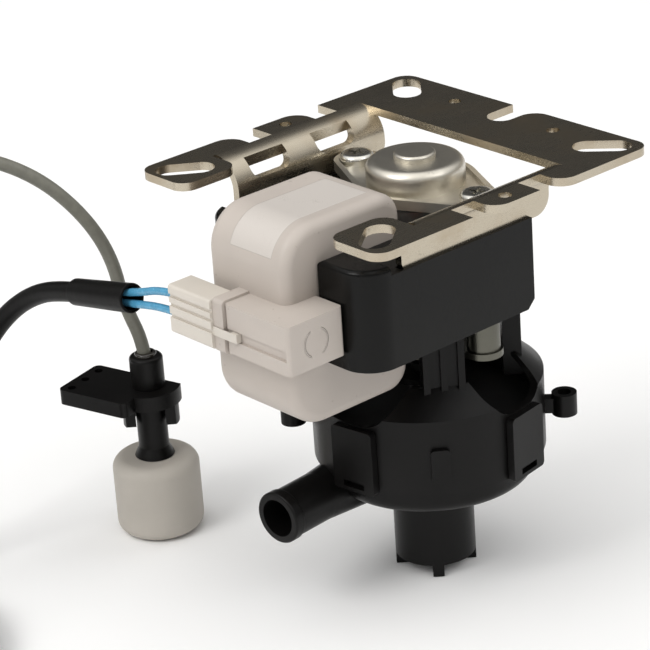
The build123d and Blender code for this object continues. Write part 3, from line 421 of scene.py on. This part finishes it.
# %% [markdown]
# ## A finish
# Each finish is one Principled shader. What is the same all over a surface is
# written on the shader's own socket. What changes from place to place is linked, and
# is reckoned from Object coordinates, so that a pattern stays on its piece.

# %% Materials built round a Principled shader
class Finish(Tree):
    """One procedural material."""

    def __init__(self, name, rough=0.5, metallic=0.0, coat=0.0, **fixed):
        self.material = bpy.data.materials.new(name)
        self.material.use_nodes = True
        super().__init__(self.material.node_tree)
        self.shader = self.tree.nodes["Principled BSDF"]
        fixed.update({"Roughness": rough, "Metallic": metallic, "Coat_Weight": coat})
        for key, value in fixed.items():
            self.shader.inputs[key.replace("_", " ")].default_value = value
        self.place = self.node("TexCoord", out="Object")
        split = self.node("SeparateXYZ", {0: self.place}).socket.node
        self.x, self.y, self.z = (Value(self, output) for output in split.outputs)

    def noise(self, scale, detail=3.0, roughness=0.55, stretch=None):
        """Soft random pattern; stretch squeezes it along the axes given above 1."""
        place = self.place
        if stretch:
            place = self.node("Mapping", {"Vector": place, "Scale": stretch})
        return self.node("TexNoise", {
            "Vector": place, "Scale": scale, "Detail": detail, "Roughness": roughness})

    def mix(self, factor, first, second):
        """Blend two colours by a factor."""
        first, second = (c if isinstance(c, Value) else (*c, 1.0) for c in (first, second))
        return self.node("Mix", {"Factor": factor, 6: first, 7: second}, out=2, data_type="RGBA")

    def input(self, name):
        """What feeds one of the shader's sockets now, to be worked on further."""
        return Value(self, self.shader.inputs[name].links[0].from_socket)

    def set(self, name, value):
        self.feed(self.shader.inputs[name], value)

    def bump(self, height, depth):
        """Surface relief: height is 0 to 1, depth is its size in metres."""
        self.set("Normal", self.node("Bump", {"Height": height, "Distance": depth, "Strength": 1.0}))


# %% [markdown]
# ## Colours
# Colours are written as a screen shows them, from 0 to 255, because that is how they
# are read off and compared. Shaders want linear light, so `linear` converts them.

# %% Screen colour to shader colour
def linear(red, green, blue):
    """Screen colour, 0 to 255, as the linear colour that shaders use."""
    return tuple(((c / 255 + 0.055) / 1.055) ** 2.4 if c > 10 else c / 255 / 12.92
                 for c in (red, green, blue))


def shade(colour, share):
    """A darker tone of a colour, or a paler one where the share is above 1."""
    return tuple(min(1.0, c * share) for c in colour)


# %% [markdown]
# ## Plastics
# Moulded plastic has a fine grain from the tool's surface, faint clouds of colour
# where the melt met, and slightly glossier skin where it was handled. One recipe
# with a few numbers serves every plastic here, which keeps them of one family.

# %% A recipe for plastic
CLOUD_SCALE, WIPE_SCALE, MOULD_GRAIN = 38, 90, 5200     # of the noise, per metre


def plastic(name, colour, rough, cloud=0.10, grain=MOULD_GRAIN, depth=0.00003, spread=0.10, **fixed):
    """Cloud is how far the tone wanders, spread how far the gloss does."""
    finish = Finish(name, rough, **fixed)
    clouds = finish.noise(CLOUD_SCALE, 4)
    fine = finish.noise(grain, 2)
    tones = shade(colour, 1 - cloud), shade(colour, 1 + cloud)
    finish.set("Base Color", finish.mix(clouds.step(0.32, 0.68), *tones))
    wipe = finish.noise(WIPE_SCALE, 3, stretch=(1.0, 1.0, 0.35))
    finish.set("Roughness", (wipe - 0.5) * (2 * spread) + (fine - 0.5) * 0.10 + rough)
    finish.bump(fine * 0.7 + clouds * 0.3, depth)
    return finish


# %% [markdown]
# ## The coil's cover
# The cover is the same plastic with two things on it: a bare label stuck over its
# rounded top, and two faint moulded arcs on the socket's end. The label could be a
# thin sheet of its own, but it is thinner than any wall that would show. A mask in
# the material gives it its paler tone, its gloss, its edge and its small step.

# %% Label and arcs as masks
LABEL_Y = (-0.0089, 0.0054)            # the label's two long edges
LABEL_LOW_Z, LABEL_BACK_X = -0.0084, -0.0235
LABEL_BLUR = 0.0001
ARCS_AT, ARCS_R = (-0.0529, -0.0247), 0.0034     # middle in X and Z, radius
ARCS_FACE_Y = -0.0222                  # only the socket's end, not what lies behind it


def label_mask(cover):
    """1 on the label, 0 off it."""
    left = (cover.y - LABEL_Y[0]).step(0.0, 2 * LABEL_BLUR)
    right = (cover.y - LABEL_Y[1]).step(0.0, -2 * LABEL_BLUR)
    above = cover.z.step(LABEL_LOW_Z - LABEL_BLUR, LABEL_LOW_Z + LABEL_BLUR)
    before = cover.x.step(LABEL_BACK_X + LABEL_BLUR, LABEL_BACK_X - LABEL_BLUR)
    return left * right * above * before


def arcs_mask(cover):
    """1 on the two moulded arcs, which are a ring without its top and bottom."""
    x, z = cover.x - ARCS_AT[0], cover.z - ARCS_AT[1]
    ring = ((x * x + z * z).root() - ARCS_R).size().step(0.00030, 0.00008)
    return ring * x.size().step(0.0014, 0.0020) * cover.y.step(ARCS_FACE_Y + 0.0003, ARCS_FACE_Y)


# %% [markdown]
# ## Finish of the cover
# The masks change what the plain plastic already has, so each socket is read back,
# worked on, and set again. A product of the label's mask and its opposite is only
# large along the edge, and draws the edge's thin shadow.

# %% The cover's finish
def coil_plastic():
    """Off-white cover with its label, its arcs, and a few dark specks of handling."""
    cover = plastic("coil_plastic", linear(189, 180, 172), 0.46, cloud=0.04, depth=0.00003)
    label, ridge = label_mask(cover), arcs_mask(cover)
    edge = label * (1 - label) * 4.0
    specks = cover.noise(620, 1).step(0.73, 0.79)
    marked = cover.mix(specks * 0.45, cover.input("Base Color"), linear(150, 138, 128))
    marked = cover.mix(label * 0.8, marked, linear(206, 200, 194))
    cover.set("Base Color", cover.mix(edge * 0.5, marked, linear(150, 143, 138)))
    cover.set("Roughness", cover.input("Roughness") - label * 0.16)
    grain = cover.noise(MOULD_GRAIN, 2)
    cover.bump(grain * 0.2 + label * 0.5 + ridge * 3.0, 0.00012)
    return cover


# %% [markdown]
# ## All the plastics
# Black plastics get a low specular level: they are matt nylon and would otherwise
# mirror the white room and turn grey.

# %% Make the plastics
MATT = {"Specular_IOR_Level": 0.18}
JET = linear(11.5, 10.6, 10.2)

plastics = {
    "coil_plastic": coil_plastic(),
    "plug_plastic": plastic(
        "plug_plastic", linear(208, 201, 191), 0.34, cloud=0.04, spread=0.06, coat=0.10),
    "bobbin_plastic": plastic("bobbin_plastic", linear(200, 195, 180), 0.45, cloud=0.05),
    "black_plastic": plastic(
        "black_plastic", JET, 0.34, cloud=0.25, depth=0.00005, spread=0.16, **MATT),
    "sleeve_plastic": plastic(
        "sleeve_plastic", linear(11, 11, 10.2), 0.26, cloud=0.22, depth=0.00004, spread=0.14, **MATT),
    "impeller_plastic": plastic("impeller_plastic", linear(66, 66, 64), 0.45, cloud=0.12),
    "float_plastic": plastic(
        "float_plastic", linear(186, 180, 171), 0.60, cloud=0.05, grain=3400, depth=0.00006),
    "white_washer": plastic("white_washer", linear(228, 226, 218), 0.40, cloud=0.03),
    "resin": plastic(
        "resin", linear(38, 35, 31), 0.16, cloud=0.25, grain=700, depth=0.00008, coat=0.5),
    "rubber": plastic(
        "rubber", linear(15, 15, 14), 0.62, cloud=0.15, depth=0.00006, Specular_IOR_Level=0.2)}
print("plastics:", *plastics)

# %% [markdown]
# ## Metals
# Rolled steel carries faint streaks and stains from the mill, scuffs from handling,
# and a gloss that changes with them. A tiled image would repeat and look flat under
# a moving light, so the recipe builds all of it from noise. Its `streak`
# squeezes the grain along chosen axes: the same on all three for cast or drawn
# pieces, long in one for rolled or turned ones.

# %% A recipe for metal
BRUSH_SCALE, BLOTCH_SCALE, SCUFF_SCALE, METAL_GRAIN = 170, 46, 330, 2600
ROLLED = (1.0, 22.0, 22.0)


def metal(name, colour, rough, streak=ROLLED, tint=None, depth=0.00002, smudge=0.5):
    """Tint is the stains' colour, smudge how strong they are."""
    finish = Finish(name, rough, metallic=1.0)
    brushed = finish.noise(BRUSH_SCALE, 4, 0.6, stretch=streak)
    blotch = finish.noise(BLOTCH_SCALE, 5, 0.62)
    height = brushed * 0.6 + finish.noise(METAL_GRAIN, 3) * 0.4
    stain = blotch.step(0.40, 0.72)
    scuffs = finish.noise(SCUFF_SCALE, 6, 0.75).step(0.60, 0.72)
    body = finish.mix(stain * smudge, colour, tint or shade(colour, 0.78))
    finish.set("Base Color", finish.mix(scuffs * 0.35, body, shade(colour, 0.45)))
    finish.set("Roughness", (blotch - 0.5) * 0.22 + (height - 0.5) * 0.18 + scuffs * 0.12 + rough)
    finish.bump(height, depth)
    return finish


# %% [markdown]
# ## Laminations
# The motor's core is a stack of thin punched sheets, which keeps stray currents
# small. Modelled one by one, the sheets would be a heavy mesh for something so even.
# The material counts them by height instead: each gets its own tone, and a dark
# line and a groove part it from the next.

# %% A stack of sheets
SHEET = 0.00065                        # thickness of one lamination


def laminated(name, colour):
    """Edge of a stack: thin sheets, each with its own tone."""
    stack = Finish(name, 0.5, metallic=0.7)
    sheet = stack.z * (1 / SHEET)
    tone = stack.node("TexWhiteNoise", {"W": sheet.math("FLOOR")}, noise_dimensions="1D")
    gap = (sheet.math("FRACT") - 0.5).size().step(0.40, 0.49)
    rust = stack.noise(120, 4).step(0.55, 0.75)
    body = stack.mix(tone * 0.4, colour, shade(colour, 0.55))
    body = stack.mix(rust * 0.35, body, linear(104, 78, 58))
    stack.set("Base Color", stack.mix(gap * 0.7, body, (0.01, 0.01, 0.01)))
    stack.set("Roughness", stack.noise(900, 2) * 0.25 + 0.36)
    stack.bump(stack.noise(1800, 2) * 0.2 - gap, 0.00008)
    return stack


# %% [markdown]
# ## The winding
# Enamelled wire lies turn beside turn on the bobbin. A sine along the coil gives the
# round backs of the turns, and a little noise in it keeps them from being too even.
# The same sine paints the colour: a painted highlight on the backs of the turns and
# painted shade in the grooves between them.

# %% Wound copper
WOUND_WIRE = 0.00032                   # from one turn to the next


def wound_copper():
    """Enamelled wire laid turn beside turn round the core bar, with painted shade in the grooves and
    a painted highlight on the backs.
    """
    winding = Finish("copper", 0.3, metallic=1.0, coat=0.4)
    phase = winding.y * (2 * pi / WOUND_WIRE) + winding.noise(60, 2) * 2.0
    turns = phase.sine() * 0.5 + 0.5
    # Painted shade and highlight: the colour follows the turns' relief, dark in the grooves and pale
    # on the round backs.
    winding.set("Base Color", winding.mix(turns, linear(120, 62, 34), linear(206, 128, 84)))
    winding.set("Roughness", winding.noise(300, 2) * 0.2 + 0.2)
    winding.bump(turns, 0.00012)
    return winding


# %% [markdown]
# ## All the metals
# The bracket is passivated sheet with a straw tint, the dome above the rotor is
# drawn from cleaner steel, and the bridge below it is a silver casting whose colour
# is darkened to grey as painted shade, for the shade that it sits in.

# %% Make the metals
EVEN = (14.0, 14.0, 14.0)

metals = {
    "bracket_steel": metal(
        "bracket_steel", linear(188, 179, 162), 0.28, tint=linear(168, 152, 128), depth=0.00001,
        smudge=0.7),
    "dome_steel": metal(
        "dome_steel", linear(220, 215, 204), 0.36, streak=(8.0, 8.0, 8.0),
        tint=linear(170, 165, 152), depth=0.000008),
    "laminations": laminated("laminations", linear(96, 96, 94)),
    "copper": wound_copper(),
    "shaft_steel": metal("shaft_steel", linear(205, 205, 204), 0.18, streak=(30.0, 30.0, 1.0)),
    "screw_steel": metal("screw_steel", linear(214, 212, 205), 0.22, streak=(9.0, 9.0, 9.0)),
    "bearing_bronze": metal(
        "bearing_bronze", linear(158, 122, 78), 0.42, streak=(20.0, 20.0, 20.0)),
    # Painted shade: the silver casting gets a dark grey colour for the shade it sits in under the
    # stack.
    "cast_alloy": metal("cast_alloy", linear(102, 101, 93), 0.36, streak=EVEN, depth=0.00008),
    "rotor_alloy": metal("rotor_alloy", linear(188, 188, 188), 0.36, streak=EVEN),
    "magnet": metal("magnet", linear(74, 74, 78), 0.45, streak=EVEN)}
print("metals:", *metals)

# %% [markdown]
# ## Cord jackets
# A jacket is soft and was pressed out round its wires, so it ripples slowly along
# its length and holds fine dust. It is a plastic, but without the clouds and the
# mould's grain, so it has a recipe of its own.

# %% A recipe for jackets
def jacket(name, colour, rough, ripple=420, depth=0.00006, **fixed):
    """Soft extruded jacket, with slow ripples and fine dust in them."""
    finish = Finish(name, rough, **fixed)
    waves = finish.noise(ripple, 3)
    dust = finish.noise(2600, 2)
    finish.set("Base Color", finish.mix(waves.step(0.35, 0.70), shade(colour, 0.84), colour))
    finish.set("Roughness", (dust - 0.5) * 0.2 + rough)
    finish.bump(waves * 0.7 + dust * 0.3, depth)
    return finish


# %% [markdown]
# ## Felt and glass
# Two small pieces hide inside: the oiled felt rings round the bearings, all fibre
# and no gloss, and the glass capsule of the float's reed switch, nearly clear.

# %% Felt and glass
def felt():
    """Oiled wool felt: tangled fibres, quite without gloss."""
    wool = Finish("felt", 0.95)
    fibres = wool.noise(1500, 6, 0.8)
    tones = linear(120, 108, 88), linear(186, 174, 150)
    wool.set("Base Color", wool.mix(fibres.step(0.3, 0.7), *tones))
    wool.bump(fibres, 0.0002)
    return wool


def glass():
    """Slightly hazy greenish glass."""
    capsule = Finish("glass", 0.08, Transmission_Weight=0.9, IOR=1.5)
    haze = capsule.noise(400, 2)
    capsule.set("Base Color", capsule.mix(haze, linear(206, 222, 216), linear(226, 236, 232)))
    capsule.set("Roughness", haze * 0.12 + 0.04)
    capsule.bump(haze, 0.00001)
    return capsule


soft_and_clear = {
    "cable_jacket": jacket("cable_jacket", linear(118, 117, 107), 0.46),
    "wire_blue": jacket("wire_blue", linear(84, 160, 198), 0.26, coat=0.3),
    "lead_jacket": jacket(
        "lead_jacket", JET, 0.40, ripple=260, depth=0.0001, Specular_IOR_Level=0.15),
    "felt": felt(),
    "glass": glass()}
print("soft and clear:", *soft_and_clear)

# %% [markdown]
# ## Giving every piece its finish
# The record names a material slot for each CAD node, so one loop dresses them all.
# The cords take the slots of the solids that they stand for.

# %% Dress the pieces
finishes = {**plastics, **metals, **soft_and_clear}
slot_of = {part["node"]: part["material_slot"] for part in frame["record"]["subparts"]}


def dress(piece, slot):
    """Take off what a piece wears and give it one finish."""
    piece.data.materials.clear()
    piece.data.materials.append(finishes[slot].material)


for name, piece in nodes.items():
    dress(piece, slot_of[name])
for tie in ties.values():
    dress(tie, "black_plastic")
for name, replaced in stands_for.items():
    dress(cords[name], slot_of[replaced[0]])
print("dressed:", len(nodes), "nodes,", len(ties), "ties,", len(stands_for), "cords")

# %% [markdown]
# ## Floor
# A pale matt floor carries the shadow and nothing else. It is far wider than the
# view, so that no edge of it shows from any side, and lies a hair below the feet,
# because two faces at the same height flicker.

# %% Lay the floor
FLOOR_WIDTH, FLOOR_GAP = 24.0, 0.0002

bpy.ops.mesh.primitive_plane_add(size=FLOOR_WIDTH, location=(0, 0, FLOOR_Z - FLOOR_GAP))
floor = bpy.context.object
floor.name = "studio_floor"
paper = Finish("paper", 0.9)
paper.set("Base Color", paper.mix(paper.noise(3, 3), (0.97, 0.97, 0.97), (0.99, 0.99, 0.99)))
floor.data.materials.append(paper.material)

# %% [markdown]
# ## Sky
# Metal shows what it mirrors. Under an even white sky the bracket's flat face would
# look white too, so the sky has one dim patch behind the object, low over the far
# side: level faces mirror it and read dark, while folded edges stay bright. It is
# brighter overhead than at the rim, which models the rounded plastics.

# %% Paint the sky
DIM_TOWARD = Vector((0.591, 0.698, 0.42)).normalized()
DIM_FROM, DIM_FULL, DIM_TO = 0.62, 0.92, 0.11          # cosines, and what is left of the light
RIM_UP, TOP_UP = 0.05, 0.90                            # heights in the sky, 0 to 1
RIM_LIGHT, TOP_LIGHT = 0.06, 1.45

world = bpy.data.worlds.new("studio_sky")
bpy.context.scene.world = world
world.use_nodes = True
sky = Tree(world.node_tree)
toward = sky.node("TexCoord", out="Generated")
facing = sky.node("VectorMath", {0: toward, 1: DIM_TOWARD}, out="Value", operation="DOT_PRODUCT")
patch = sky.node("MapRange", {0: facing, 1: DIM_FROM, 2: DIM_FULL, 3: 1.0, 4: DIM_TO},
                 interpolation_type="SMOOTHSTEP")
height = sky.node("SeparateXYZ", {0: toward}, out="Z")
overhead = sky.node("MapRange", {0: height, 1: RIM_UP, 2: TOP_UP, 3: RIM_LIGHT, 4: TOP_LIGHT})
background = sky.tree.nodes["Background"]
sky.feed(background.inputs["Strength"], patch * overhead)
sky.feed(background.inputs["Color"], (1.0, 0.995, 0.985, 1.0))

# %% [markdown]
# ## Two soft lamps
# The sky alone gives no direction. A large lamp on the coil's side is the key, and a
# weaker one in front fills the shadows of the black housings. Both are big and
# square, so that their shadows stay soft.

# %% Hang the lamps
def area_light(name, place, size, power, colour=(1.0, 1.0, 1.0)):
    """A soft square light that looks at the middle of the object."""
    place = Vector(place)
    looking = (place - AIM).to_track_quat("Z", "Y").to_euler()
    bpy.ops.object.light_add(type="AREA", location=place, rotation=looking)
    lamp = bpy.context.object
    lamp.name = name
    lamp.data.size = size
    lamp.data.energy = power
    lamp.data.color = colour
    print(name, power, "W")


area_light("key", (-1.1, 0.1, 1.0), 0.6, 7.0, (1.0, 0.99, 0.97))
area_light("fill", (0.3, -1.2, 1.1), 0.7, 2.3)

# %% [markdown]
# ## View
# The Standard transform shows each colour as it was written, without a film's curve.

# %% Set the view
bpy.context.scene.view_settings.view_transform = "Standard"
